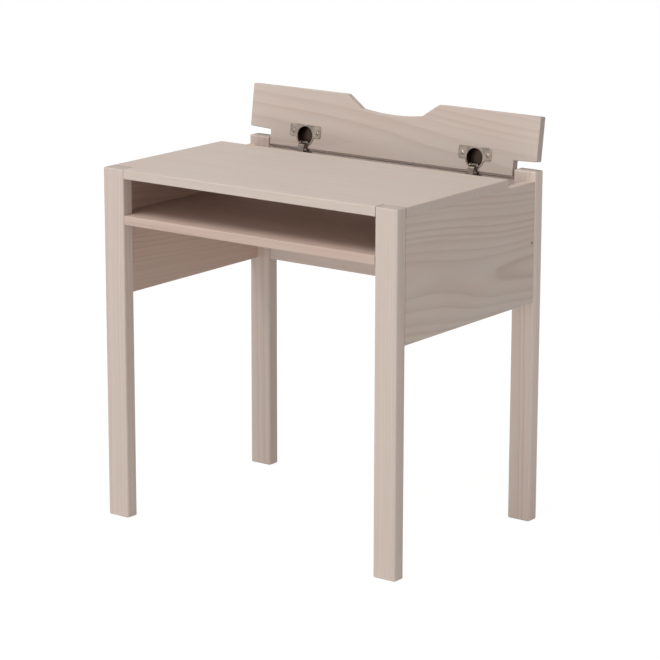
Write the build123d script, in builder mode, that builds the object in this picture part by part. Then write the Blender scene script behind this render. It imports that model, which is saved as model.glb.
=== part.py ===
from build123d import *
from math import cos, radians, sin, tan
import os

os.makedirs("parts", exist_ok=True)

# Child's desk of whitewashed pine, in millimetres.
# X runs across the desk, +Y to the back, +Z up. The origin lies on the floor, in the
# middle of the space that the desk takes up with its rear flap open.
# Depths named "_y" below are measured backwards from the front faces of the front legs.

# Overall size
desk_width = 600.0
desk_depth = 418.0
desk_height = 604.0

# Legs
leg_width = 43.0
leg_depth = 24.0
leg_corner_radius = 3.0
leg_top_radius = 2.5
leg_foot_chamfer = 1.5

# Boards
top_thickness = 16.0
top_edge_radius = 2.5
top_lower_edge_radius = 0.8
top_setback = 0.8
shelf_thickness = 16.0
compartment_height = 62.0
shelf_setback = 0.8
shelf_edge_radius = 2.5
panel_thickness = 16.0
panel_height = 205.0
panel_edge_radius = 0.8
side_panel_inset = 1.0
back_panel_inset = 4.0
back_panel_drop = 0.95
leg_notch_gap = 0.3

# Flap over the rear compartment
flap_thickness = 15.0
flap_length = 102.5
flap_edge_radius = 1.6
flap_corner_radius = 2.6
flap_leg_gap = 2.5
flap_rest_gap = 0.4
flap_front_gap = 2.5
flap_lean = 8.0
flap_open_rise = 5.3
flap_open_setback = 25.2
wing_length_inner = 77.5
wing_length_outer = 75.5
finger_width_top = 194.0
finger_width_bottom = 128.0
finger_depth_side = 22.5
finger_depth_middle = 27.3
finger_corner_radius = 9.0

# Concealed hinges: steel cup in the flap, arm on the back panel, two links between them
hinge_offset = 178.0
cup_radius = 17.4
cup_wall = 1.0
cup_floor = 0.7
cup_depth = 12.2
cup_edge_distance = 4.1
cup_bore_clearance = 0.1
flange_thickness = 1.0
flange_bevel = 0.4
flange_rim = 1.5
flange_width = 67.0
flange_height = 22.0
flange_lift = 8.0
flange_corner_radius = 4.0
cup_screw_spacing = 51.0
cup_screw_lift = 6.2
cup_mouth_half_width = 8.4
cup_mouth_depth = 8.0

# Hinge pivots: places in the cup, and how far each link turns while the flap opens
outer_pivot_along = 8.6
outer_pivot_depth = 1.7
outer_link_turn = 21.5
inner_pivot_along = 10.4
inner_pivot_depth = 5.4
inner_link_turn = 48.5
pivot_pin_radius = 1.0
pivot_clearance = 0.05
pin_end_gap = 0.15
inner_pin_play = 0.62

# Hinge links and arm
link_eye_radius = 1.95
outer_link_half_width = 6.5
outer_link_thickness = 1.7
outer_crest_along = 42.0
outer_crest_offset = 9.0
outer_bend_radius = 4.0
inner_link_inside = 6.8
inner_link_plate = 1.1
inner_link_breadth = 1.8
inner_eye_radius = 2.45
inner_eye_shift = (-0.2, 0.5)
inner_hook_steps = [(-3.3, 4.0), (-3.2, 8.5), (0.45, 14.3), (3.0, 15.3)]
inner_hook_radius = 1.2
arm_inside = 8.2
arm_wall = 1.2
arm_eye_radius = 2.4
arm_nose_core = 0.6
arm_tail_radius = 3.2
arm_foot_thickness = 1.2
arm_foot_height = 40.0
plate_thickness = 2.5
plate_width = 30.0
plate_height = 50.0
plate_top_drop = 1.5
plate_wing_width = 44.0
plate_wing_height = 16.0
plate_screw_spacing = 32.0
plate_corner_radius = 3.0
arm_screw_spacing = 18.0
rivet_head_radius = 1.7
rivet_head_height = 0.5
rivet_inner_gap = 0.25

# Wood screws and dowels
screw_radius = 1.75
screw_head_radius = 3.3
screw_head_height = 1.1
screw_head_bevel = 0.5
screw_fit = 0.04
cup_screw_length = 11.0
plate_screw_length = 12.0
arm_screw_radius = 1.9
arm_screw_head_radius = 3.0
dowel_radius = 4.0
dowel_fit = 0.05
dowel_end_gap = 1.0
leg_dowel_depth = 14.0
panel_dowel_depth = 20.0
side_dowel_depth = 10.0
shelf_dowel_depth = 22.0
dowel_row_spacing = 75.0
shelf_dowel_margin = 40.0

# Angle brackets that hold the top down on the side panels
bracket_width = 15.0
bracket_reach = 20.0
bracket_drop = 20.0
bracket_thickness = 2.0
bracket_front_gap = 6.0
bracket_rear_gap = 8.0
bracket_screw_reach = 12.0
bracket_screw_length = 11.0
bracket_corner_radius = 6.0


# Places that follow from the sizes
half_width = desk_width / 2
leg_inner_x = half_width - leg_width
side_outer_x = half_width - side_panel_inset
side_inner_x = side_outer_x - panel_thickness
side_centre_x = side_outer_x - panel_thickness / 2
under_top = desk_height - top_thickness
panel_bottom_height = under_top - panel_height
shelf_top_height = under_top - compartment_height
top_depth = desk_depth - flap_length - flap_front_gap
rear_leg_y = desk_depth - leg_depth
back_face_y = rear_leg_y + back_panel_inset
back_top_height = under_top - back_panel_drop
flap_closed_height = under_top + flap_rest_gap
flap_open_height = under_top + flap_open_rise
flap_open_y = desk_depth - flap_open_setback
open_reach = (
    flap_open_y
    + flap_length * sin(radians(flap_lean))
    + flap_thickness * cos(radians(flap_lean))
)
front_y = -max(desk_depth, open_reach) / 2


def from_front(depth):
    """Row-frame Y of a place that lies this far behind the front of the legs."""
    return front_y + depth


# The flap stands on a plane of its own: origin at the middle of the lower edge of its
# inner face, x across the desk, y up along the flap, z out of the inner face.
flap_plane = Plane(
    origin=(0, from_front(flap_open_y), flap_open_height),
    x_dir=(1, 0, 0),
    z_dir=(0, -cos(radians(flap_lean)), sin(radians(flap_lean))),
)


def open_place(along, depth):
    """(Y, Z) of a point of the open flap: along it from its lower edge, into its wood."""
    point = flap_plane.from_local_coords(Vector(0, along, -depth))
    return Vector(point.Y, point.Z)


def closed_place(along, depth):
    """(Y, Z) of the same point once the flap lies closed."""
    return Vector(from_front(desk_depth) - along, flap_closed_height + depth)


def turning_centre(start, end, degrees):
    """Centre about which a turn of so many degrees carries start to end."""
    middle = (start + end) * 0.5
    step = end - start
    across = Vector(-step.Y, step.X)
    return middle + across * (0.5 / tan(radians(degrees) / 2))


# Each arm pivot is the centre of the turn that carries its cup pivot from shut to open.
outer_cup_pivot = open_place(outer_pivot_along, outer_pivot_depth)
inner_cup_pivot = open_place(inner_pivot_along, inner_pivot_depth)
outer_arm_pivot = turning_centre(
    closed_place(outer_pivot_along, outer_pivot_depth), outer_cup_pivot, outer_link_turn
)
inner_arm_pivot = turning_centre(
    closed_place(inner_pivot_along, inner_pivot_depth), inner_cup_pivot, inner_link_turn
)
cup_centre_along = cup_edge_distance + cup_radius
cup_screw_along = cup_centre_along + cup_screw_lift
plate_top_height = back_top_height - plate_top_drop
plate_middle_height = plate_top_height - plate_height / 2


# Legs: straight posts with rounded corners, eased at the foot and rounded over at the top
dowel_row_height = (panel_bottom_height + under_top) / 2
side_panel_dowel_heights = [dowel_row_height + dowel_row_spacing * row for row in (-1, 0, 1)]
for side, sign in (("left", -1), ("right", 1)):
    for end in ("front", "rear"):
        leg_middle_y = leg_depth / 2 if end == "front" else desk_depth - leg_depth / 2
        butt_y = leg_depth if end == "front" else rear_leg_y
        into_leg = -1 if end == "front" else 1
        with BuildPart() as leg:
            with BuildSketch():
                with Locations((sign * (half_width - leg_width / 2), from_front(leg_middle_y))):
                    RectangleRounded(leg_width, leg_depth, leg_corner_radius)
            extrude(amount=desk_height)
            fillet(leg.faces().sort_by(Axis.Z)[-1].edges(), leg_top_radius)
            chamfer(leg.faces().sort_by(Axis.Z)[0].edges(), leg_foot_chamfer)
            # Blind holes for the side panel's dowels
            with BuildSketch(Plane.XZ.offset(-from_front(butt_y))):
                for height in side_panel_dowel_heights:
                    with Locations((sign * side_centre_x, height)):
                        Circle(dowel_radius + dowel_fit)
            extrude(amount=-into_leg * leg_dowel_depth, mode=Mode.SUBTRACT)
            if end == "rear":
                # Blind holes for the back panel's dowels
                with BuildSketch(Plane.YZ.offset(sign * leg_inner_x)):
                    for height in side_panel_dowel_heights:
                        with Locations((from_front(back_face_y + panel_thickness / 2), height)):
                            Circle(dowel_radius + dowel_fit)
                extrude(amount=sign * leg_dowel_depth, mode=Mode.SUBTRACT)
        leg.part.label = f"leg_{end}_{side}"
        export_step(leg.part, f"parts/leg_{end}_{side}.step")

# Places of the angle brackets, and of the hinges
bracket_ys = [
    leg_depth + bracket_front_gap + bracket_width / 2,
    top_depth - bracket_rear_gap - bracket_width / 2,
]
bracket_side_screw_height = under_top - bracket_screw_reach
bracket_top_screw_x = side_inner_x - bracket_screw_reach
shelf_dowel_ys = [leg_depth + shelf_dowel_margin, desk_depth / 2, rear_leg_y - shelf_dowel_margin]
shelf_middle_height = shelf_top_height - shelf_thickness / 2

# Side panels: boards that butt against the legs, under the top and the flap
for side, sign in (("left", -1), ("right", 1)):
    with BuildPart() as side_panel:
        with BuildSketch(Plane.XY.offset(panel_bottom_height)):
            with Locations((sign * side_centre_x, from_front(desk_depth / 2))):
                Rectangle(panel_thickness, rear_leg_y - leg_depth)
        extrude(amount=under_top - panel_bottom_height)
        fillet(side_panel.edges().filter_by(Axis.Y), panel_edge_radius)
        for butt_y, inward in ((leg_depth, 1), (rear_leg_y, -1)):
            with BuildSketch(Plane.XZ.offset(-from_front(butt_y))):
                for height in side_panel_dowel_heights:
                    with Locations((sign * side_centre_x, height)):
                        Circle(dowel_radius + dowel_fit)
            extrude(amount=-inward * panel_dowel_depth, mode=Mode.SUBTRACT)
        with BuildSketch(Plane.YZ.offset(sign * side_inner_x)):
            for depth in shelf_dowel_ys:
                with Locations((from_front(depth), shelf_middle_height)):
                    Circle(dowel_radius + dowel_fit)
        extrude(amount=sign * side_dowel_depth, mode=Mode.SUBTRACT)
        with BuildSketch(Plane.YZ.offset(sign * side_inner_x)):
            for depth in bracket_ys:
                with Locations((from_front(depth), bracket_side_screw_height)):
                    Circle(screw_radius + screw_fit)
        extrude(amount=sign * bracket_screw_length, mode=Mode.SUBTRACT)
    side_panel.part.label = f"side_panel_{side}"
    export_step(side_panel.part, f"parts/side_panel_{side}.step")

# Back panel between the rear legs, which carries the hinge arms
with BuildPart() as back_panel:
    with BuildSketch(Plane.XY.offset(panel_bottom_height)):
        with Locations((0, from_front(back_face_y + panel_thickness / 2))):
            Rectangle(2 * leg_inner_x, panel_thickness)
    extrude(amount=back_top_height - panel_bottom_height)
    fillet(back_panel.edges().filter_by(Axis.X), panel_edge_radius)
    for sign in (-1, 1):
        with BuildSketch(Plane.YZ.offset(sign * leg_inner_x)):
            for height in side_panel_dowel_heights:
                with Locations((from_front(back_face_y + panel_thickness / 2), height)):
                    Circle(dowel_radius + dowel_fit)
        extrude(amount=-sign * panel_dowel_depth, mode=Mode.SUBTRACT)
    with BuildSketch(Plane.XZ.offset(-from_front(back_face_y))):
        for sign in (-1, 1):
            with Locations((sign * hinge_offset, plate_middle_height)):
                with GridLocations(plate_screw_spacing, 0, 2, 1):
                    Circle(screw_radius + screw_fit)
    extrude(amount=-plate_screw_length, mode=Mode.SUBTRACT)
back_panel.part.label = "back_panel"
export_step(back_panel.part, "parts/back_panel.step")

# Tabletop: full width, notched round the two front legs, rounded over above, eased below
notch_x = leg_inner_x - leg_notch_gap
notch_y = leg_depth + leg_notch_gap
with BuildPart() as tabletop:
    with BuildSketch(Plane.XY.offset(under_top)):
        with BuildLine():
            Polyline(
                (-notch_x, from_front(top_setback)),
                (notch_x, from_front(top_setback)),
                (notch_x, from_front(notch_y)),
                (half_width, from_front(notch_y)),
                (half_width, from_front(top_depth)),
                (-half_width, from_front(top_depth)),
                (-half_width, from_front(notch_y)),
                (-notch_x, from_front(notch_y)),
                close=True,
            )
        make_face()
    extrude(amount=top_thickness)
    rims = tabletop.edges().filter_by(lambda edge: abs(edge.tangent_at(0).Z) < 0.5)
    outer_rims = rims.filter_by(
        lambda edge: abs(edge.center().Y - from_front(notch_y)) > 1
        and abs(abs(edge.center().X) - notch_x) > 1
    )
    fillet(outer_rims.filter_by_position(Axis.Z, desk_height, desk_height), top_edge_radius)
    lower_rims = tabletop.faces().sort_by(Axis.Z)[0].edges().filter_by(
        lambda edge: abs(edge.center().Y - from_front(notch_y)) > 1
        and abs(abs(edge.center().X) - notch_x) > 1
    )
    fillet(lower_rims, top_lower_edge_radius)
    with BuildSketch(Plane.XY.offset(under_top)):
        for sign in (-1, 1):
            for depth in bracket_ys:
                with Locations((sign * bracket_top_screw_x, from_front(depth))):
                    Circle(screw_radius + screw_fit)
    extrude(amount=bracket_screw_length, mode=Mode.SUBTRACT)
tabletop.part.label = "tabletop"
export_step(tabletop.part, "parts/tabletop.step")

# Shelf: between the side panels, notched round the front legs, back to the back panel
with BuildPart() as shelf:
    with BuildSketch(Plane.XY.offset(shelf_top_height - shelf_thickness)):
        with BuildLine():
            Polyline(
                (-notch_x, from_front(shelf_setback)),
                (notch_x, from_front(shelf_setback)),
                (notch_x, from_front(notch_y)),
                (side_inner_x, from_front(notch_y)),
                (side_inner_x, from_front(rear_leg_y - leg_notch_gap)),
                (notch_x, from_front(rear_leg_y - leg_notch_gap)),
                (notch_x, from_front(back_face_y)),
                (-notch_x, from_front(back_face_y)),
                (-notch_x, from_front(rear_leg_y - leg_notch_gap)),
                (-side_inner_x, from_front(rear_leg_y - leg_notch_gap)),
                (-side_inner_x, from_front(notch_y)),
                (-notch_x, from_front(notch_y)),
                close=True,
            )
        make_face()
    extrude(amount=shelf_thickness)
    fillet(shelf.faces().sort_by(Axis.Y)[0].edges().filter_by(Axis.X), shelf_edge_radius)
    for sign in (-1, 1):
        with BuildSketch(Plane.YZ.offset(sign * side_inner_x)):
            for depth in shelf_dowel_ys:
                with Locations((from_front(depth), shelf_middle_height)):
                    Circle(dowel_radius + dowel_fit)
        extrude(amount=-sign * shelf_dowel_depth, mode=Mode.SUBTRACT)
shelf.part.label = "shelf"
export_step(shelf.part, "parts/shelf.step")

# Dowels: plain beech pegs, a little shorter than the two holes that they join
with BuildPart() as side_panel_dowels:
    for butt_y, into_leg in ((leg_depth, -1), (rear_leg_y, 1)):
        start = from_front(butt_y) + into_leg * (leg_dowel_depth - dowel_end_gap)
        with BuildSketch(Plane.XZ.offset(-start)):
            for sign in (-1, 1):
                for height in side_panel_dowel_heights:
                    with Locations((sign * side_centre_x, height)):
                        Circle(dowel_radius)
        extrude(amount=into_leg * (leg_dowel_depth + panel_dowel_depth - 2 * dowel_end_gap))
side_panel_dowels.part.label = "side_panel_dowels"
export_step(side_panel_dowels.part, "parts/side_panel_dowels.step")

with BuildPart() as back_panel_dowels:
    for sign in (-1, 1):
        with BuildSketch(Plane.YZ.offset(sign * (leg_inner_x + leg_dowel_depth - dowel_end_gap))):
            for height in side_panel_dowel_heights:
                with Locations((from_front(back_face_y + panel_thickness / 2), height)):
                    Circle(dowel_radius)
        extrude(amount=-sign * (leg_dowel_depth + panel_dowel_depth - 2 * dowel_end_gap))
back_panel_dowels.part.label = "back_panel_dowels"
export_step(back_panel_dowels.part, "parts/back_panel_dowels.step")

with BuildPart() as shelf_dowels:
    for sign in (-1, 1):
        with BuildSketch(Plane.YZ.offset(sign * (side_inner_x + side_dowel_depth - dowel_end_gap))):
            for depth in shelf_dowel_ys:
                with Locations((from_front(depth), shelf_middle_height)):
                    Circle(dowel_radius)
        extrude(amount=-sign * (side_dowel_depth + shelf_dowel_depth - 2 * dowel_end_gap))
shelf_dowels.part.label = "shelf_dowels"
export_step(shelf_dowels.part, "parts/shelf_dowels.step")

# Angle brackets: bent steel strips in the corner between a side panel and the top
with BuildPart() as angle_brackets:
    for sign in (-1, 1):
        for depth in bracket_ys:
            with BuildSketch(Plane.XZ.offset(-from_front(depth + bracket_width / 2))):
                with BuildLine():
                    Polyline(
                        (sign * side_inner_x, under_top),
                        (sign * (side_inner_x - bracket_reach), under_top),
                        (sign * (side_inner_x - bracket_reach), under_top - bracket_thickness),
                        (sign * (side_inner_x - bracket_thickness), under_top - bracket_thickness),
                        (sign * (side_inner_x - bracket_thickness), under_top - bracket_drop),
                        (sign * side_inner_x, under_top - bracket_drop),
                        close=True,
                    )
                make_face()
            extrude(amount=bracket_width)
    ends = angle_brackets.edges().filter_by(Axis.X).filter_by(
        lambda edge: edge.length < bracket_thickness * 1.5 and edge.center().Z < under_top - bracket_drop + 1
    )
    ends += angle_brackets.edges().filter_by(Axis.Z).filter_by(
        lambda edge: edge.length < bracket_thickness * 1.5
        and abs(edge.center().X) < side_inner_x - bracket_reach + 1
    )
    fillet(ends, bracket_corner_radius)
    with BuildSketch(Plane.XY.offset(under_top)):
        for sign in (-1, 1):
            for depth in bracket_ys:
                with Locations((sign * bracket_top_screw_x, from_front(depth))):
                    Circle(screw_radius + screw_fit)
    extrude(amount=-bracket_thickness, mode=Mode.SUBTRACT)
    for sign in (-1, 1):
        with BuildSketch(Plane.YZ.offset(sign * side_inner_x)):
            for depth in bracket_ys:
                with Locations((from_front(depth), bracket_side_screw_height)):
                    Circle(screw_radius + screw_fit)
        extrude(amount=-sign * bracket_thickness, mode=Mode.SUBTRACT)
angle_brackets.part.label = "angle_brackets"
export_step(angle_brackets.part, "parts/angle_brackets.step")


def screw(plane, shank_radius, head_radius, length):
    """Pan-head screw: its head stands on the plane, its shank runs in behind it."""
    with BuildPart() as one_screw:
        with BuildSketch(plane):
            Circle(head_radius)
        extrude(amount=screw_head_height)
        top_rim = one_screw.edges().sort_by(Axis(plane.origin, plane.z_dir))[-1]
        chamfer(top_rim, screw_head_bevel)
        with BuildSketch(plane):
            Circle(shank_radius)
        extrude(amount=-length)
    return one_screw.part


def export_group(solids, name):
    """Write like fasteners as one piece of separate solids."""
    with BuildPart() as group:
        add(solids)
    group.part.label = name
    export_step(group.part, f"parts/{name}.step")


bracket_screws = []
for sign in (-1, 1):
    for depth in bracket_ys:
        up = Plane(
            origin=(sign * bracket_top_screw_x, from_front(depth), under_top - bracket_thickness),
            z_dir=(0, 0, -1),
        )
        outward = Plane(
            origin=(
                sign * (side_inner_x - bracket_thickness),
                from_front(depth),
                bracket_side_screw_height,
            ),
            z_dir=(-sign, 0, 0),
        )
        for plane in (up, outward):
            bracket_screws.append(
                screw(plane, screw_radius, screw_head_radius, bracket_screw_length - screw_head_height)
            )
export_group(bracket_screws, "bracket_screws")

# Flap: a tongue between the rear legs, wings in front of them, and a finger cut-out
tongue_x = leg_inner_x - flap_leg_gap
wing_start_inner = flap_length - wing_length_inner
wing_start_outer = flap_length - wing_length_outer
bore_radius = cup_radius + cup_bore_clearance
bore_depth = cup_depth + cup_bore_clearance
with BuildPart() as flap:
    with BuildSketch(flap_plane):
        with BuildLine():
            Polyline(
                (finger_width_bottom / 2, flap_length - finger_depth_side),
                (finger_width_top / 2, flap_length),
                (half_width, flap_length),
                (half_width, wing_start_outer),
                (tongue_x, wing_start_inner),
                (tongue_x, 0),
                (-tongue_x, 0),
                (-tongue_x, wing_start_inner),
                (-half_width, wing_start_outer),
                (-half_width, flap_length),
                (-finger_width_top / 2, flap_length),
                (-finger_width_bottom / 2, flap_length - finger_depth_side),
            )
            ThreePointArc(
                (-finger_width_bottom / 2, flap_length - finger_depth_side),
                (0, flap_length - finger_depth_middle),
                (finger_width_bottom / 2, flap_length - finger_depth_side),
            )
        make_face()
    extrude(amount=-flap_thickness)
    across_board = flap.edges().filter_by(lambda edge: abs(edge.length - flap_thickness) < 0.01)
    finger_corners = across_board.filter_by(
        lambda edge: abs(abs(edge.center().X) - finger_width_bottom / 2) < 1
        or abs(abs(edge.center().X) - finger_width_top / 2) < 1
    )
    fillet(finger_corners, finger_corner_radius)
    outer_corners = flap.edges().filter_by(
        lambda edge: abs(edge.length - flap_thickness) < 0.01 and abs(abs(edge.center().X) - half_width) < 1
    )
    fillet(outer_corners, flap_corner_radius)
    faces_across = flap.faces().sort_by(Axis(flap_plane.origin, flap_plane.z_dir))
    fillet(faces_across[0].edges() + faces_across[-1].edges(), flap_edge_radius)
    with BuildSketch(flap_plane):
        for sign in (-1, 1):
            with Locations((sign * hinge_offset, cup_centre_along)):
                Circle(bore_radius)
    extrude(amount=-bore_depth, mode=Mode.SUBTRACT)
    with BuildSketch(flap_plane):
        for sign in (-1, 1):
            with Locations((sign * hinge_offset, cup_screw_along)):
                with GridLocations(cup_screw_spacing, 0, 2, 1):
                    Circle(screw_radius + screw_fit)
    extrude(amount=-cup_screw_length, mode=Mode.SUBTRACT)
flap.part.label = "flap"
export_step(flap.part, "parts/flap.step")

# Hinge links run between these places: row-frame (Y, Z), flap open
arm_foot_y = from_front(back_face_y - plate_thickness)
outer_ahead = (outer_cup_pivot - outer_arm_pivot).normalized()
outer_aside = Vector(-outer_ahead.Y, outer_ahead.X)


def beside_chord(along, offset):
    """A place so far along the line from arm pivot to cup pivot, and so far beside it."""
    return outer_arm_pivot + outer_ahead * along + outer_aside * offset


# The outer link is bowed to pass over the back panel's edge when the flap is shut.
outer_path = [
    outer_arm_pivot,
    beside_chord(outer_crest_along, outer_crest_offset),
    outer_cup_pivot,
]
# The inner link is a hook that reaches round the lip of the flap.
inner_path = [inner_arm_pivot + Vector(*step) for step in inner_hook_steps]
inner_path = [inner_arm_pivot] + inner_path + [inner_cup_pivot]
inner_eye_centre = inner_cup_pivot + Vector(*inner_eye_shift)


def pin_half_length(along):
    """Half the length of a pin that ends inside the cup's wall, this far up the flap."""
    lowest = cup_centre_along - along + pivot_pin_radius
    return (bore_radius**2 - lowest**2) ** 0.5 - pin_end_gap


arm_outside = arm_inside + arm_wall
cup_screws = []
plate_screws = []
arm_screws = []
for side, sign in (("left", -1), ("right", 1)):
    hinge_x = sign * hinge_offset

    # Cup: a drawn steel pot with a screwed flange, open at the lip for the links
    with BuildPart() as cup:
        with BuildSketch(flap_plane):
            with Locations((hinge_x, cup_centre_along)):
                Circle(cup_radius)
        extrude(amount=-cup_depth)
        fillet(cup.faces().sort_by(Axis(flap_plane.origin, flap_plane.z_dir))[0].edges(), cup_wall)
        with BuildSketch(flap_plane) as flange_outline:
            with Locations((hinge_x, cup_centre_along)):
                Circle(cup_radius + flange_rim)
            with Locations((hinge_x, cup_centre_along + flange_lift)):
                Rectangle(flange_width, flange_height)
            fillet(flange_outline.vertices(), flange_corner_radius)
        extrude(amount=flange_thickness)
        flange_front = cup.faces().sort_by(Axis(flap_plane.origin, flap_plane.z_dir))[-1]
        chamfer(flange_front.edges(), flange_bevel)
        with BuildSketch(flap_plane.offset(flange_thickness)):
            with Locations((hinge_x, cup_centre_along)):
                Circle(cup_radius - cup_wall)
        extrude(amount=-(flange_thickness + cup_depth - cup_floor), mode=Mode.SUBTRACT)
        with BuildSketch(flap_plane.offset(flange_thickness)):
            with Locations((hinge_x, cup_centre_along / 2)):
                Rectangle(2 * cup_mouth_half_width, cup_centre_along)
        extrude(amount=-(flange_thickness + cup_mouth_depth), mode=Mode.SUBTRACT)
        with BuildSketch(flap_plane.offset(flange_thickness)):
            with Locations((hinge_x, cup_screw_along)):
                with GridLocations(cup_screw_spacing, 0, 2, 1):
                    Circle(screw_radius + screw_fit)
        extrude(amount=-flange_thickness, mode=Mode.SUBTRACT)
        with BuildSketch(Plane.YZ.offset(hinge_x)):
            for pivot in (outer_cup_pivot, inner_cup_pivot):
                with Locations((pivot.X, pivot.Y)):
                    Circle(pivot_pin_radius + pivot_clearance)
        extrude(amount=cup_radius, both=True, mode=Mode.SUBTRACT)
    cup.part.label = f"hinge_cup_{side}"
    export_step(cup.part, f"parts/hinge_cup_{side}.step")

    with BuildPart() as cup_pins:
        for pivot, along in ((outer_cup_pivot, outer_pivot_along), (inner_cup_pivot, inner_pivot_along)):
            with BuildSketch(Plane.YZ.offset(hinge_x)):
                with Locations((pivot.X, pivot.Y)):
                    Circle(pivot_pin_radius)
            extrude(amount=pin_half_length(along), both=True)
    cup_pins.part.label = f"hinge_cup_pins_{side}"
    export_step(cup_pins.part, f"parts/hinge_cup_pins_{side}.step")

    # Outer link: one bowed strip with a rolled eye at each end
    with BuildPart() as outer_link:
        with BuildSketch(Plane.YZ.offset(hinge_x)):
            with BuildLine():
                FilletPolyline(*[(place.X, place.Y) for place in outer_path], radius=outer_bend_radius)
            trace(line_width=outer_link_thickness)
            for pivot in (outer_arm_pivot, outer_cup_pivot):
                with Locations((pivot.X, pivot.Y)):
                    Circle(link_eye_radius)
            for pivot in (outer_arm_pivot, outer_cup_pivot):
                with Locations((pivot.X, pivot.Y)):
                    Circle(pivot_pin_radius + pivot_clearance, mode=Mode.SUBTRACT)
        extrude(amount=outer_link_half_width, both=True)
    outer_link.part.label = f"hinge_outer_link_{side}"
    export_step(outer_link.part, f"parts/hinge_outer_link_{side}.step")

    # Inner links: a pair of hooked plates, one on each side of the outer link
    with BuildPart() as inner_links:
        for way in (-1, 1):
            with BuildSketch(Plane.YZ.offset(hinge_x + way * inner_link_inside)):
                with BuildLine():
                    FilletPolyline(*[(place.X, place.Y) for place in inner_path], radius=inner_hook_radius)
                trace(line_width=inner_link_breadth)
                with Locations((inner_arm_pivot.X, inner_arm_pivot.Y)):
                    Circle(link_eye_radius)
                with Locations((inner_eye_centre.X, inner_eye_centre.Y)):
                    Circle(inner_eye_radius)
                with Locations((inner_arm_pivot.X, inner_arm_pivot.Y)):
                    Circle(pivot_pin_radius + pivot_clearance, mode=Mode.SUBTRACT)
                with Locations((inner_eye_centre.X, inner_eye_centre.Y)):
                    Circle(pivot_pin_radius + inner_pin_play, mode=Mode.SUBTRACT)
            extrude(amount=way * inner_link_plate)
    inner_links.part.label = f"hinge_inner_links_{side}"
    export_step(inner_links.part, f"parts/hinge_inner_links_{side}.step")

    # Arm: a steel channel with its foot on the mounting plate and an ear at each pivot
    with BuildPart() as arm:
        with BuildSketch(Plane.XZ.offset(-arm_foot_y)):
            with Locations((hinge_x, plate_middle_height)):
                Rectangle(2 * arm_outside, arm_foot_height)
        extrude(amount=arm_foot_thickness)
        for way in (-1, 1):
            with BuildSketch(Plane.YZ.offset(hinge_x + way * arm_inside)):
                with BuildLine():
                    CenterArc((outer_arm_pivot.X, outer_arm_pivot.Y), arm_tail_radius, 0, 360)
                    CenterArc((inner_arm_pivot.X, inner_arm_pivot.Y), arm_nose_core, 0, 360)
                    Line(
                        (arm_foot_y, plate_middle_height - arm_foot_height / 2),
                        (arm_foot_y, plate_middle_height + arm_foot_height / 2),
                    )
                make_hull()
                with Locations((inner_arm_pivot.X, inner_arm_pivot.Y)):
                    Circle(arm_eye_radius)
                for pivot in (outer_arm_pivot, inner_arm_pivot):
                    with Locations((pivot.X, pivot.Y)):
                        Circle(pivot_pin_radius + pivot_clearance, mode=Mode.SUBTRACT)
            extrude(amount=way * arm_wall)
        with BuildSketch(Plane.XZ.offset(-arm_foot_y)):
            with Locations((hinge_x, plate_middle_height)):
                with GridLocations(0, arm_screw_spacing, 1, 2):
                    Circle(arm_screw_radius + screw_fit)
        extrude(amount=arm_foot_thickness, mode=Mode.SUBTRACT)
    arm.part.label = f"hinge_arm_{side}"
    export_step(arm.part, f"parts/hinge_arm_{side}.step")

    # Arm pins: a through pin for the outer link, a riveted stub on each side for the inner ones
    with BuildPart() as arm_pins:
        with BuildSketch(Plane.YZ.offset(hinge_x)):
            with Locations((outer_arm_pivot.X, outer_arm_pivot.Y)):
                Circle(pivot_pin_radius)
        extrude(amount=arm_outside + rivet_head_height, both=True)
        for way in (-1, 1):
            with BuildSketch(Plane.YZ.offset(hinge_x + way * (outer_link_half_width + rivet_inner_gap))):
                with Locations((inner_arm_pivot.X, inner_arm_pivot.Y)):
                    Circle(pivot_pin_radius)
            extrude(amount=way * (arm_outside - outer_link_half_width - rivet_inner_gap + rivet_head_height))
            with BuildSketch(Plane.YZ.offset(hinge_x + way * arm_outside)):
                for pivot in (outer_arm_pivot, inner_arm_pivot):
                    with Locations((pivot.X, pivot.Y)):
                        Circle(rivet_head_radius)
            extrude(amount=way * rivet_head_height)
    arm_pins.part.label = f"hinge_arm_pins_{side}"
    export_step(arm_pins.part, f"parts/hinge_arm_pins_{side}.step")

    # Mounting plate: a cross-shaped plate screwed to the back panel
    with BuildPart() as mounting_plate:
        with BuildSketch(Plane.XZ.offset(-from_front(back_face_y))):
            with Locations((hinge_x, plate_middle_height)):
                RectangleRounded(plate_width, plate_height, plate_corner_radius)
                RectangleRounded(plate_wing_width, plate_wing_height, plate_corner_radius)
                with GridLocations(plate_screw_spacing, 0, 2, 1):
                    Circle(screw_radius + screw_fit, mode=Mode.SUBTRACT)
                with GridLocations(0, arm_screw_spacing, 1, 2):
                    Circle(arm_screw_radius + screw_fit, mode=Mode.SUBTRACT)
        extrude(amount=plate_thickness)
    mounting_plate.part.label = f"hinge_plate_{side}"
    export_step(mounting_plate.part, f"parts/hinge_plate_{side}.step")

    # Screws of this hinge
    for way in (-1, 1):
        on_flange = flap_plane.offset(flange_thickness)
        on_flange.origin = on_flange.from_local_coords(
            Vector(hinge_x + way * cup_screw_spacing / 2, cup_screw_along, 0)
        )
        cup_screws.append(screw(on_flange, screw_radius, screw_head_radius, cup_screw_length))
        on_plate = Plane(
            origin=(hinge_x + way * plate_screw_spacing / 2, arm_foot_y, plate_middle_height),
            z_dir=(0, -1, 0),
        )
        plate_screws.append(screw(on_plate, screw_radius, screw_head_radius, plate_screw_length))
        on_foot = Plane(
            origin=(
                hinge_x,
                arm_foot_y - arm_foot_thickness,
                plate_middle_height + way * arm_screw_spacing / 2,
            ),
            z_dir=(0, -1, 0),
        )
        shank = arm_foot_thickness + plate_thickness - screw_fit
        arm_screws.append(screw(on_foot, arm_screw_radius, arm_screw_head_radius, shank))

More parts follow.
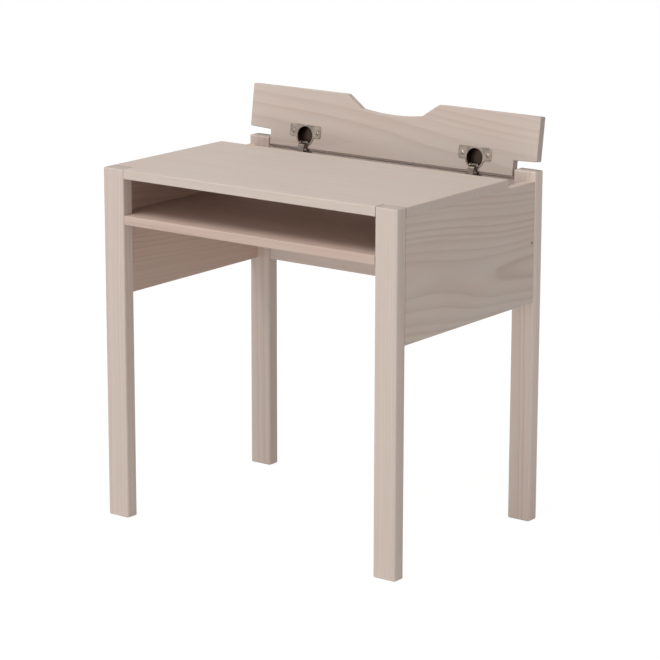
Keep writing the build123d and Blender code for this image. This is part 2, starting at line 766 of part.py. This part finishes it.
export_group(cup_screws, "hinge_cup_screws")
export_group(plate_screws, "hinge_plate_screws")
export_group(arm_screws, "hinge_arm_screws")

for name, place in (
    ("outer link on arm", outer_arm_pivot),
    ("outer link in cup", outer_cup_pivot),
    ("inner link on arm", inner_arm_pivot),
    ("inner link in cup", inner_cup_pivot),
):
    print(f"{name}: y {place.X:.3f}, z {place.Y:.3f}")
print(f"front of the legs: y {front_y:.3f}")
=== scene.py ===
import bmesh
import bpy
import numpy as np
from mathutils import Matrix, Vector


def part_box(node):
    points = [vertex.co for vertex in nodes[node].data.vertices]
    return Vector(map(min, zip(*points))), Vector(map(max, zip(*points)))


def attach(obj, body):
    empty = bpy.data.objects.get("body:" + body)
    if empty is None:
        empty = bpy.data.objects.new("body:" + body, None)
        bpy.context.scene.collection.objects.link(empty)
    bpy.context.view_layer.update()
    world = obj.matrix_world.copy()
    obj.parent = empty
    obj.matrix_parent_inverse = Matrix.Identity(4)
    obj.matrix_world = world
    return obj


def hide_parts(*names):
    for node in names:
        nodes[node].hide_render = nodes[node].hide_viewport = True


# Looks for a child's desk of whitewashed pine with a flap on concealed nickel hinges.
# Metres, +Z up, +Y to the back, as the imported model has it.

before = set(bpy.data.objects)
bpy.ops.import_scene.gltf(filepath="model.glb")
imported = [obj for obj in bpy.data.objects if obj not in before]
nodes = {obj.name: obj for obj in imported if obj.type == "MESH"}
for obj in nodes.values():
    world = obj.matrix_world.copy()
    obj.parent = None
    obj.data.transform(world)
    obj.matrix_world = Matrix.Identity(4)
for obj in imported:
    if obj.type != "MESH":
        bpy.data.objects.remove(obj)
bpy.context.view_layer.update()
print("frame loaded:", len(nodes), "pieces")


# small helpers that wire shader nodes
def shaderTree(name):
    material = bpy.data.materials.new(name)
    material.use_nodes = True
    tree = material.node_tree
    tree.nodes.clear()
    output = tree.nodes.new("ShaderNodeOutputMaterial")
    shader = tree.nodes.new("ShaderNodeBsdfPrincipled")
    tree.links.new(shader.outputs[0], output.inputs[0])
    return material, tree, shader


def feed(tree, socket, value):
    # a socket gets a link from another socket, or a plain value
    if isinstance(value, bpy.types.NodeSocket):
        tree.links.new(value, socket)
    else:
        socket.default_value = value


def maths(tree, operation, first, second=0.0, third=0.0, clamp=False):
    node = tree.nodes.new("ShaderNodeMath")
    node.operation = operation
    node.use_clamp = clamp
    for place, value in enumerate((first, second, third)):
        feed(tree, node.inputs[place], value)
    return node.outputs[0]


def between(tree, share, low, high):
    # low + share * (high - low)
    return maths(tree, "MULTIPLY_ADD", share, high - low, low)


def vector(tree, operation, first, second=(0, 0, 0)):
    node = tree.nodes.new("ShaderNodeVectorMath")
    node.operation = operation
    feed(tree, node.inputs[0], first)
    feed(tree, node.inputs[1], second)
    return node.outputs["Value" if operation in ("LENGTH", "DOT_PRODUCT", "DISTANCE") else "Vector"]


def scaled(tree, first, factor):
    node = tree.nodes.new("ShaderNodeVectorMath")
    node.operation = "SCALE"
    feed(tree, node.inputs[0], first)
    feed(tree, node.inputs["Scale"], factor)
    return node.outputs["Vector"]


def noise(tree, where, scale, detail=2.0, rough=0.5, colour=False):
    # where is stretched by scale along each axis before the noise is read at unit size
    node = tree.nodes.new("ShaderNodeTexNoise")
    feed(tree, node.inputs["Vector"], vector(tree, "MULTIPLY", where, scale))
    node.inputs["Scale"].default_value = 1.0
    node.inputs["Detail"].default_value = detail
    node.inputs["Roughness"].default_value = rough
    return node.outputs["Color" if colour else "Fac"]


def centredNoise(tree, where, scale, detail):
    return vector(tree, "SUBTRACT", noise(tree, where, scale, detail, colour=True), (0.5, 0.5, 0.5))


def ramp(tree, value, stops):
    node = tree.nodes.new("ShaderNodeValToRGB")
    feed(tree, node.inputs[0], value)
    band = node.color_ramp
    while len(band.elements) < len(stops):
        band.elements.new(0.5)
    for element, (place, level) in zip(band.elements, stops):
        element.position = place
        element.color = (level, level, level, 1)
    return node.outputs[0]


def mix(tree, share, first, second, blend="MIX"):
    node = tree.nodes.new("ShaderNodeMix")
    node.data_type = "RGBA"
    node.blend_type = blend
    feed(tree, node.inputs[0], share)
    feed(tree, node.inputs[6], first)
    feed(tree, node.inputs[7], second)
    return node.outputs[2]


def bumped(tree, shader, height, strength, distance):
    node = tree.nodes.new("ShaderNodeBump")
    node.inputs["Strength"].default_value = strength
    node.inputs["Distance"].default_value = distance
    feed(tree, node.inputs["Height"], height)
    feed(tree, shader.inputs["Normal"], node.outputs[0])


def linear(red, green, blue):
    # screen values 0 to 255 to the linear colour of a shader
    screen = np.array([red, green, blue]) / 255
    low = screen / 12.92
    high = ((screen + 0.055) / 1.055) ** 2.4
    return tuple(float(v) for v in np.where(screen <= 0.04045, low, high)) + (1.0,)


# Whitewashed pine. Growth rings are read in three dimensions round a pith line beside each
# board, so the faces show cathedral figure or straight lines and the end grain shows arcs.
pine = {
    "early": linear(213, 198, 188),       # pale wood under the wash
    "late": linear(184, 161, 147),        # darker line of late growth
    "rosy": (0.99, 0.945, 0.92, 1.0),     # where the wash lies thin
    "grey": (0.985, 1.0, 0.985, 1.0),     # where it lies thick
    "knot": linear(96, 72, 58),
    "endTone": 0.84,                      # end grain drinks more stain
    "roughness": 0.55,
}
grainTurn = {
    "x": Matrix.Identity(4),
    "y": Matrix.Rotation(-np.pi / 2, 4, "Z"),
    "z": Matrix.Rotation(np.pi / 2, 4, "Y"),
}
grainLine = {"x": (1, 0, 0), "y": (0, 1, 0), "z": (0, 0, 1)}


# stretches are noise features a metre, along the grain and twice across it
figure = {
    "driftStretch": (1.7, 5, 5), "rippleStretch": (9, 45, 45), "rippleReach": 0.003,
    "yearScale": 0.55, "yearUnevenness": 1.6, "lateLow": 0.15, "lateHigh": 1.45,
    "lateStops": ((0.0, 0.5), (0.10, 0.06), (0.40, 0.0), (0.76, 0.5), (0.94, 1.0)),
    "fibreStretch": (7, 900, 900), "streakStretch": (3, 160, 160), "cloudStretch": (5, 17, 17),
    "cloudStops": ((0.35, 0.0), (0.65, 1.0)), "streakLow": 0.4, "streakHigh": 1.6,
    "fibreTone": 0.05, "streakTone": 0.04, "endStops": ((0.55, 0.0), (0.92, 1.0)),
    "knotReach": 3.2, "knotPush": 1.6, "knotShare": 0.8,
    "knotStops": ((0.0, 0.0), (0.25, 0.8), (1.0, 1.0)),
    "swellGain": 1.6, "swellSoftness": 0.5,
    "lateRoughness": 0.08, "fibreRoughness": 0.12, "specular": 0.35,
    "fibreHeight": 0.8, "bumpStrength": 0.2, "bumpDistance": 0.0004,
}


def pineMaterial(name, grain, centre, pith, ringWidth, contrast, wander=0.012, slope=0.0,
                 tone=1.0, cloud=0.6, lean=0.0, tint=(1, 1, 1), endTone=pine["endTone"],
                 knots=(), swells=()):
    # ring count = distance from the wandering pith line / ring width + the years' unevenness;
    # the fraction of it runs from pale early wood to a dark late line
    material, tree, shader = shaderTree(name)
    coordinates = tree.nodes.new("ShaderNodeTexCoord")
    place = coordinates.outputs["Object"]
    turn = grainTurn[grain] @ Matrix.Rotation(lean, 4, "X")
    mapping = tree.nodes.new("ShaderNodeMapping")
    mapping.vector_type = "POINT"
    mapping.inputs["Rotation"].default_value = turn.to_euler()
    mapping.inputs["Location"].default_value = -(turn @ Vector(centre)) - Vector((0, *pith))
    feed(tree, mapping.inputs["Vector"], place)
    along = mapping.outputs[0]

    # knots push the rings aside and stain the wood round them
    stain = None
    for where, size in knots:
        gap = vector(tree, "DISTANCE", place, where)
        near = maths(tree, "DIVIDE", gap, size * figure["knotReach"])
        near = maths(tree, "SUBTRACT", 1.0, near, clamp=True)
        core = maths(tree, "SUBTRACT", 1.0, maths(tree, "DIVIDE", gap, size), clamp=True)
        core = ramp(tree, core, figure["knotStops"])
        aside = size * figure["knotPush"]
        push = scaled(tree, (0, aside, aside), maths(tree, "MULTIPLY", near, near))
        along = vector(tree, "ADD", along, push)
        stain = core if stain is None else maths(tree, "MAXIMUM", stain, core)

    # swells bow the rings outwards over an oval, which opens the figure into an eye
    for where, reach, push in swells:
        offset = vector(tree, "DIVIDE", vector(tree, "SUBTRACT", place, where), reach)
        share = maths(tree, "SUBTRACT", 1.0, vector(tree, "LENGTH", offset), clamp=True)
        share = maths(tree, "MULTIPLY", share, figure["swellGain"])
        share = maths(tree, "SMOOTH_MIN", share, 1.0, figure["swellSoftness"])
        along = vector(tree, "ADD", along, scaled(tree, (0, push, 0), share))

    drift = scaled(tree, centredNoise(tree, along, figure["driftStretch"], 1.0), 2 * wander)
    ripple = scaled(tree, centredNoise(tree, along, figure["rippleStretch"], 2.0), figure["rippleReach"])
    bent = vector(tree, "ADD", vector(tree, "ADD", along, drift), ripple)
    apart = tree.nodes.new("ShaderNodeSeparateXYZ")
    feed(tree, apart.inputs[0], bent)
    across = tree.nodes.new("ShaderNodeCombineXYZ")
    feed(tree, across.inputs[1], apart.outputs[1])
    feed(tree, across.inputs[2], maths(tree, "MULTIPLY_ADD", apart.outputs[0], slope, apart.outputs[2]))
    rings = maths(tree, "DIVIDE", vector(tree, "LENGTH", across.outputs[0]), ringWidth)
    year = tree.nodes.new("ShaderNodeTexNoise")
    year.noise_dimensions = "1D"
    feed(tree, year.inputs["W"], rings)
    year.inputs["Scale"].default_value = figure["yearScale"]
    rings = maths(tree, "MULTIPLY_ADD", year.outputs["Fac"], figure["yearUnevenness"], rings)
    late = ramp(tree, maths(tree, "FRACT", rings), figure["lateStops"])
    strength = between(tree, year.outputs["Fac"], figure["lateLow"], figure["lateHigh"])
    late = maths(tree, "MULTIPLY", late, strength)

    fibres = noise(tree, along, figure["fibreStretch"], 3.0, 0.65)
    streaks = noise(tree, along, figure["streakStretch"], 2.0, 0.6)
    clouds = noise(tree, along, figure["cloudStretch"], 2.0, 0.55)
    broken = between(tree, streaks, figure["streakLow"], figure["streakHigh"])
    late = maths(tree, "MULTIPLY", late, broken)
    dark = maths(tree, "MULTIPLY", late, contrast, clamp=True)
    colour = mix(tree, dark, pine["early"], pine["late"])
    wash = mix(tree, ramp(tree, clouds, figure["cloudStops"]), pine["rosy"], pine["grey"])
    colour = mix(tree, cloud, colour, mix(tree, 1.0, colour, wash, "MULTIPLY"))
    fibreTone, streakTone = figure["fibreTone"], figure["streakTone"]
    level = maths(tree, "ADD", between(tree, fibres, tone - fibreTone, tone + fibreTone),
                  between(tree, streaks, -streakTone, streakTone))
    square = vector(tree, "DOT_PRODUCT", coordinates.outputs["Normal"], grainLine[grain])
    endGrain = ramp(tree, maths(tree, "ABSOLUTE", square), figure["endStops"])
    level = maths(tree, "MULTIPLY", level, between(tree, endGrain, 1.0, endTone))
    colour = vector(tree, "MULTIPLY", scaled(tree, colour, level), tint)
    if stain is not None:
        colour = mix(tree, maths(tree, "MULTIPLY", stain, figure["knotShare"]), colour, pine["knot"])
    feed(tree, shader.inputs["Base Color"], colour)
    rough = between(tree, late, pine["roughness"], pine["roughness"] + figure["lateRoughness"])
    rough = maths(tree, "MULTIPLY_ADD", fibres, figure["fibreRoughness"], rough)
    feed(tree, shader.inputs["Roughness"], rough)
    shader.inputs["Specular IOR Level"].default_value = figure["specular"]
    height = maths(tree, "MULTIPLY_ADD", fibres, figure["fibreHeight"], late)
    bumped(tree, shader, height, figure["bumpStrength"], figure["bumpDistance"])
    return material


def dress(node, material):
    piece = nodes[node]
    piece.data.materials.clear()
    piece.data.materials.append(material)


def middle(node):
    low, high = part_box(node)
    return (low + high) / 2


flapLean = np.radians(8)
inside = (1.0, 0.90, 0.86)                # warmer, darker wood in the compartment: partly less wash, partly painted warm bounce light and shade
boards = {
    "tabletop": dict(grain="x", pith=(0.30, -0.16), ringWidth=0.010, contrast=0.13, cloud=0.5,
                     tone=0.98, endTone=0.98),
    # the shelf's tone of 0.9 is painted shade under the tabletop
    "shelf": dict(grain="x", pith=(0.08, -0.12), ringWidth=0.006, contrast=0.3, tint=inside, tone=0.9),
    "back_panel": dict(grain="x", pith=(0.10, 0.02), ringWidth=0.006, contrast=0.4),
    "side_panel_left": dict(grain="y", pith=(-0.035, 0.02), ringWidth=0.007, contrast=0.35,
                            slope=0.05, tint=inside),
    "side_panel_right": dict(grain="y", pith=(-0.040, -0.03), ringWidth=0.0115, contrast=0.42,
                             slope=0.07, wander=0.02, cloud=0.9,
                             swells=(((0.299, -0.10, 0.445), (0.08, 0.19, 0.055), 0.011),),
                             knots=(((0.299, 0.1774, 0.4856), 0.0032), ((0.299, 0.1757, 0.3778), 0.0016))),
    "leg_front_left": dict(grain="z", pith=(0.05, 0.045), ringWidth=0.005, contrast=0.34),
    "leg_front_right": dict(grain="z", pith=(0.02, 0.09), ringWidth=0.006, contrast=0.2),
    "leg_rear_left": dict(grain="z", pith=(0.07, 0.03), ringWidth=0.005, contrast=0.36),
    # tone 1.2 is painted light, lightening this leg's front where the shelf shadows it from the key lamp
    "leg_rear_right": dict(grain="z", pith=(0.06, 0.035), ringWidth=0.006, contrast=0.45, tone=1.2),
    "flap": dict(grain="x", pith=(0.05, -0.06), ringWidth=0.010, contrast=0.3, slope=0.06,
                 wander=0.018, lean=-flapLean, tone=0.97),
}
for node, look in boards.items():
    dress(node, pineMaterial("pine_" + node, centre=middle(node), **look))
print("pine boards dressed:", len(boards))


# The flap's lower edge: the solid's own mesh, with the tongue a little longer than the solid's
# and cut on the slant, so that the crack over the back panel stays closed to the eye.
flapNormal = Vector((0, -np.cos(flapLean), np.sin(flapLean)))
flapUp = Vector((0, np.sin(flapLean), np.cos(flapLean)))
lipLook = {"innerDrop": 0.0011, "outerDrop": 0.0029, "rimHeight": 0.0018, "thickness": 0.015}


def solidPoints(node):
    mesh = nodes[node].data
    points = np.empty(len(mesh.vertices) * 3)
    mesh.vertices.foreach_get("co", points)
    return points.reshape(-1, 3)


def flapBoard():
    # drop = inner drop + (outer drop - inner drop) * depth / thickness, for the lowest rim only
    mesh = nodes["flap"].data.copy()
    points = solidPoints("flap")
    height = points @ np.array(flapUp)
    depth = -points @ np.array(flapNormal)
    share = (depth - depth.min()) / lipLook["thickness"]
    drop = lipLook["innerDrop"] + (lipLook["outerDrop"] - lipLook["innerDrop"]) * share
    drop[height > height.min() + lipLook["rimHeight"]] = 0
    points -= drop[:, None] * np.array(flapUp)
    mesh.vertices.foreach_set("co", points.ravel())
    shell = bmesh.new()
    shell.from_mesh(mesh)
    bmesh.ops.remove_doubles(shell, verts=shell.verts, dist=0.000001)
    shell.to_mesh(mesh)
    shell.free()
    mesh.shade_flat()
    piece = bpy.data.objects.new("flap_board", mesh)
    bpy.context.scene.collection.objects.link(piece)
    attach(piece, "flap")
    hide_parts("flap")


flapBoard()
print("flap board made")


# beech dowels, hidden in their holes
dowelLook = {"colour": linear(205, 172, 130), "dark": linear(176, 140, 100), "roughness": 0.6}


def beechMaterial():
    material, tree, shader = shaderTree("beech_dowel")
    place = tree.nodes.new("ShaderNodeTexCoord").outputs["Object"]
    flecks = noise(tree, place, (260, 260, 260), 3.0, 0.7)
    feed(tree, shader.inputs["Base Color"], mix(tree, flecks, dowelLook["colour"], dowelLook["dark"]))
    shader.inputs["Roughness"].default_value = dowelLook["roughness"]
    return material


beech = beechMaterial()
for node in ("side_panel_dowels", "back_panel_dowels", "shelf_dowels"):
    dress(node, beech)
print("dowels dressed")


# hinge and bracket metal
# painted shade in the hinge cups: the depth over which it deepens and its colour
cupLook = {"shadeDepth": 0.005, "shade": linear(70, 58, 50)}
flapFaceLevel = float((solidPoints("flap") @ np.array(flapNormal)).max())
nickelLook = dict(light=linear(172, 160, 150), dark=linear(122, 110, 101), roughness=0.30, size=300)
metalLooks = {
    "nickel": nickelLook,
    "cupNickelPaintedShade": dict(nickelLook, cup=True),
    "darkerNickel": dict(light=linear(134, 122, 112), dark=linear(84, 75, 67), roughness=0.34, size=300),
    "darkSteel": dict(light=linear(98, 92, 88), dark=linear(58, 54, 52), roughness=0.42, size=300),
    "zincScrew": dict(light=linear(150, 143, 136), dark=linear(100, 94, 88), roughness=0.34, size=400),
}


def metalMaterial(name, light, dark, roughness, size, cup=False):
    # plated steel: faint cloudy tarnish, fine tumbling marks in the gloss; a cup's inside gets painted
    # shade, darker with its depth behind the flap's inner face
    material, tree, shader = shaderTree(name)
    place = tree.nodes.new("ShaderNodeTexCoord").outputs["Object"]
    tarnish = ramp(tree, noise(tree, place, (size / 4,) * 3, 3.0, 0.6), ((0.35, 0.0), (0.75, 1.0)))
    marks = noise(tree, place, (size * 3,) * 3, 2.0, 0.6)
    colour = mix(tree, tarnish, light, dark)
    # painted shade: the cup's colour runs to the shade colour with depth into the flap
    if cup:
        level = vector(tree, "DOT_PRODUCT", place, tuple(flapNormal))
        depth = maths(tree, "SUBTRACT", flapFaceLevel, level)
        share = maths(tree, "DIVIDE", depth, cupLook["shadeDepth"], clamp=True)
        colour = mix(tree, share, colour, cupLook["shade"])
    feed(tree, shader.inputs["Base Color"], colour)
    shader.inputs["Metallic"].default_value = 1.0
    feed(tree, shader.inputs["Roughness"], between(tree, marks, roughness - 0.06, roughness + 0.08))
    bumped(tree, shader, marks, 0.05, 0.0001)
    return material


metals = {name: metalMaterial(name, **look) for name, look in metalLooks.items()}
for node in nodes:
    if node.startswith("hinge_"):
        # links, arms and plates take a darker nickel
        darkerPart = any(word in node for word in ("link", "arm", "plate"))
        isCup = node in ("hinge_cup_left", "hinge_cup_right")
        dress(node, metals["darkerNickel" if darkerPart else "cupNickelPaintedShade" if isCup else "nickel"])
dress("angle_brackets", metals["darkSteel"])
dress("bracket_screws", metals["zincScrew"])
print("metal dressed")


# Screws: pan heads with a cross recess and threaded shanks, one piece for each group.
# Where each screw stands is read from the solids that it replaces.
screwLook = {
    "crownPower": 2.6,                    # higher is flatter on top, steeper at the rim
    "wallShare": 0.35,                    # straight part of the head's height
    "crossReach": 0.62, "crossWidth": 0.15, "crossDepth": 0.0009,
    "threadPitch": 0.0016, "threadDepth": 0.0004, "tipLength": 0.003,
    "headRings": 22, "turnSteps": 48, "stepsPerPitch": 8,
}
frontNormal = (0, -1, 0)
screwGroups = {
    "hinge_cup_screws": dict(body="flap", slot="hinge_nickel", metal="nickel", axis=flapNormal, tip=True),
    "hinge_plate_screws": dict(body="frame", slot="hinge_nickel", metal="nickel", axis=frontNormal, tip=True),
    "hinge_arm_screws": dict(body="frame", slot="hinge_nickel", metal="nickel", axis=frontNormal, tip=False),
    "bracket_screws": dict(body="frame", slot="screw_steel", metal="zincScrew", axis=None, tip=True),
}


def separateSolids(node):
    # corners at the same place are one; each keeps the lowest label that its triangles touch,
    # until nothing changes, so every closed solid ends with one label
    mesh = nodes[node].data
    corners = np.empty(len(mesh.loops), dtype=np.int32)
    mesh.loops.foreach_get("vertex_index", corners)
    spots, index = np.unique(solidPoints(node).round(7), axis=0, return_inverse=True)
    triangles = index.reshape(-1)[corners].reshape(-1, 3)
    label = np.arange(len(spots))
    while True:
        lower = label.copy()
        np.minimum.at(lower, triangles.ravel(), np.repeat(label[triangles].min(axis=1), 3))
        if (lower == label).all():
            return [spots[label == value] for value in np.unique(label)]
        label = lower


def screwSpot(points, axis):
    # axis from tip to head, centre line, head radius, shank radius, then the levels along the
    # axis of the head's top, the head's base and the tip
    if axis is None:
        low, high = points.min(axis=0), points.max(axis=0)
        axis = np.eye(3)[np.argmax(high - low)]
        centre = (low + high) / 2
        radii = np.linalg.norm(points - centre - np.outer((points - centre) @ axis, axis), axis=1)
        if (points - centre)[np.argmax(radii)] @ axis < 0:
            axis = -axis
    axis = np.array(axis, dtype=float)
    heights = points @ axis
    flat = points - np.outer(heights, axis)
    centre = (flat.min(axis=0) + flat.max(axis=0)) / 2
    radii = np.linalg.norm(flat - centre, axis=1)
    top = heights.max()
    headRadius = radii.max()
    base = heights[radii > headRadius * 0.98].min()
    shankRadius = radii[heights < base - 0.0005].max()
    return axis, centre, headRadius, shankRadius, top, base, heights.min()


def screwSurface(points, axis, tip):
    # head: height = crown * (1 - (r / R) ^ power) over a short wall, less the cross recess, whose
    # depth fades towards its arms' walls and ends; shank: radius = core + thread * triangle wave
    # of (depth / pitch + angle / turn), drawn in to a point over the tip's length
    look = screwLook
    axis, centre, headRadius, shankRadius, top, base, end = screwSpot(points, axis)
    angles = np.linspace(0, 2 * np.pi, look["turnSteps"], endpoint=False)
    headHeight = top - base
    share = np.linspace(0, 1, look["headRings"])[:, None]
    ringX, ringY = share * np.cos(angles), share * np.sin(angles)
    wallShare = look["wallShare"]
    crown = base + headHeight * (wallShare + (1 - wallShare) * (1 - share ** look["crownPower"]))

    def arm(lengthwise, crosswise):
        wall = np.clip((look["crossWidth"] - np.abs(crosswise)) / (look["crossWidth"] * 0.5), 0, 1)
        close = np.clip((look["crossReach"] - np.abs(lengthwise)) / (look["crossReach"] * 0.5), 0, 1)
        return wall * close
    recess = np.maximum(arm(ringX, ringY), arm(ringY, ringX))
    headTop = crown + np.zeros_like(ringX) - recess * look["crossDepth"]

    steps = max(6, int((base - end) / look["threadPitch"] * look["stepsPerPitch"]))
    depth = np.linspace(0, base - end, steps)[:, None]
    wave = np.abs(2 * ((depth / look["threadPitch"] + angles / (2 * np.pi)) % 1) - 1)
    radius = shankRadius - look["threadDepth"] * wave
    if tip:
        radius = radius * np.clip((base - end - depth) / look["tipLength"], 0.02, 1) ** 0.7
    rows = [np.stack([headRadius * ringX, headRadius * ringY, headTop], axis=-1)]
    level = 0 * angles
    for size in (headRadius, shankRadius):
        rows.append(np.stack([size * np.cos(angles), size * np.sin(angles), level + base], axis=-1)[None])
    shank = [radius * np.cos(angles), radius * np.sin(angles), base - depth + level]
    rows.append(np.stack(shank, axis=-1))
    rows.append(np.stack([level, level, level + end], axis=-1)[None])
    local = np.concatenate(rows)
    aside = np.cross(axis, (1, 0, 0) if abs(axis[0]) < 0.5 else (0, 0, 1))
    aside /= np.linalg.norm(aside)
    other = np.cross(axis, aside)
    placed = centre + local[..., :1] * aside + local[..., 1:2] * other + local[..., 2:] * axis
    row, column = np.meshgrid(np.arange(len(local) - 1), np.arange(len(angles)), indexing="ij")
    after = (column + 1) % len(angles)
    quads = np.stack([row * len(angles) + column, (row + 1) * len(angles) + column,
                      (row + 1) * len(angles) + after, row * len(angles) + after], axis=-1)
    return placed.reshape(-1, 3), quads.reshape(-1, 4)


def surfacePiece(name, points, quads, material):
    # one mesh from whole arrays, poles merged and faces turned outwards
    mesh = bpy.data.meshes.new(name)
    mesh.vertices.add(len(points))
    mesh.vertices.foreach_set("co", points.ravel())
    mesh.loops.add(quads.size)
    mesh.loops.foreach_set("vertex_index", quads.ravel().astype(np.int32))
    mesh.polygons.add(len(quads))
    mesh.polygons.foreach_set("loop_start", np.arange(0, quads.size, 4, dtype=np.int32))
    mesh.update(calc_edges=True)
    mesh.validate()
    shell = bmesh.new()
    shell.from_mesh(mesh)
    bmesh.ops.remove_doubles(shell, verts=shell.verts, dist=0.000002)
    bmesh.ops.recalc_face_normals(shell, faces=shell.faces)
    shell.to_mesh(mesh)
    shell.free()
    piece = bpy.data.objects.new(name, mesh)
    bpy.context.scene.collection.objects.link(piece)
    mesh.shade_smooth()
    mesh.set_sharp_from_angle(angle=np.radians(50))
    mesh.materials.append(material)
    return piece


def screwPiece(node, body, slot, metal, axis, tip):
    points, quads, count = [], [], 0
    for solid in separateSolids(node):
        spots, faces = screwSurface(solid, axis, tip)
        points.append(spots)
        quads.append(faces + count)
        count += len(spots)
    solidCount = len(points)
    points, quads = np.concatenate(points), np.concatenate(quads)
    piece = surfacePiece(node + "_detailed", points, quads, metals[metal])
    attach(piece, body)
    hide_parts(node)
    return solidCount


for node, look in screwGroups.items():
    print(node, "screws:", screwPiece(node, **look))


# Studio: a large soft lamp above in front, weak ones low in front and at the right, a pale world
studio = {
    "keyPower": 100.0, "keyPlace": (-0.9, -1.9, 4.2), "keySize": 2.4,
    "frontPower": 41.0, "frontPlace": (0.2, -4.2, 1.0), "frontSize": 2.0,
    "sidePower": 20.0, "sidePlace": (4.0, -0.6, 1.3), "sideSize": 2.4,
    "aim": (0, 0, 0.4), "worldLevel": 0.29,
    "floorColour": (0.80, 0.80, 0.80, 1), "floorHalf": 12.0, "floorDrop": 0.0005,
    "floorKeep": 0.16, "floorWhite": 1.13,
}


def areaLamp(name, place, size, power):
    lamp = bpy.data.lights.new(name, "AREA")
    lamp.shape = "SQUARE"
    lamp.size = size
    lamp.energy = power
    holder = bpy.data.objects.new(name, lamp)
    holder.location = place
    holder.rotation_euler = (Vector(studio["aim"]) - Vector(place)).to_track_quat("-Z", "Y").to_euler()
    bpy.context.scene.collection.objects.link(holder)


def seenDirectly(tree):
    # 1 for rays of the camera, of reflections and through glass, 0 for light that falls on things
    path = tree.nodes.new("ShaderNodeLightPath")
    seen = maths(tree, "MAXIMUM", path.outputs["Is Camera Ray"], path.outputs["Is Glossy Ray"])
    return maths(tree, "MAXIMUM", seen, path.outputs["Is Transmission Ray"])


def blendShaders(tree, share, first, second, output):
    blend = tree.nodes.new("ShaderNodeMixShader")
    feed(tree, blend.inputs[0], share)
    tree.links.new(first.outputs[0], blend.inputs[1])
    tree.links.new(second.outputs[0], blend.inputs[2])
    tree.links.new(blend.outputs[0], output.inputs[0])


def studioWorld():
    world = bpy.data.worlds.new("studioWorld")
    bpy.context.scene.world = world
    world.use_nodes = True
    tree = world.node_tree
    tree.nodes.clear()
    output = tree.nodes.new("ShaderNodeOutputWorld")
    dim = tree.nodes.new("ShaderNodeBackground")
    dim.inputs["Strength"].default_value = studio["worldLevel"]
    white = tree.nodes.new("ShaderNodeBackground")
    for light in (dim, white):
        light.inputs["Color"].default_value = (1, 1, 1, 1)
    blendShaders(tree, seenDirectly(tree), dim, white, output)


def studioFloor():
    half, drop = studio["floorHalf"], -studio["floorDrop"]
    mesh = bpy.data.meshes.new("studioFloor")
    mesh.from_pydata([(-half, -half, drop), (half, -half, drop), (half, half, drop), (-half, half, drop)],
                     [], [(0, 1, 2, 3)])
    floor = bpy.data.objects.new("studioFloor", mesh)
    bpy.context.scene.collection.objects.link(floor)
    material, tree, shader = shaderTree("paleFloor")
    shader.inputs["Base Color"].default_value = studio["floorColour"]
    shader.inputs["Roughness"].default_value = 0.9
    white = tree.nodes.new("ShaderNodeEmission")
    white.inputs["Strength"].default_value = studio["floorWhite"]
    share = maths(tree, "MULTIPLY", seenDirectly(tree), 1.0 - studio["floorKeep"])
    blendShaders(tree, share, shader, white, tree.nodes["Material Output"])
    mesh.materials.append(material)


for lamp in ("key", "front", "side"):
    areaLamp(lamp + "Lamp", studio[lamp + "Place"], studio[lamp + "Size"], studio[lamp + "Power"])
studioWorld()
studioFloor()
print("studio set")


# camera at the photograph's angle
view = {
    "place": (2.73751, -3.66667, 1.45737), "lens": 152.681, "sensor": 36.0, "shiftUp": 0.00506,
    "right": (0.802483, 0.59667, 0.002154), "up": (-0.145409, 0.192063, 0.97055),
}


def photoCamera():
    data = bpy.data.cameras.new("photoCamera")
    data.lens = view["lens"]
    data.sensor_width = view["sensor"]
    data.shift_y = view["shiftUp"]
    camera = bpy.data.objects.new("photoCamera", data)
    right, up = Vector(view["right"]), Vector(view["up"])
    turn = Matrix((right, up, right.cross(up))).transposed().to_4x4()
    camera.matrix_world = Matrix.Translation(view["place"]) @ turn
    bpy.context.scene.collection.objects.link(camera)
    bpy.context.scene.camera = camera
    bpy.context.scene.view_settings.view_transform = "Standard"


photoCamera()
print("camera set")
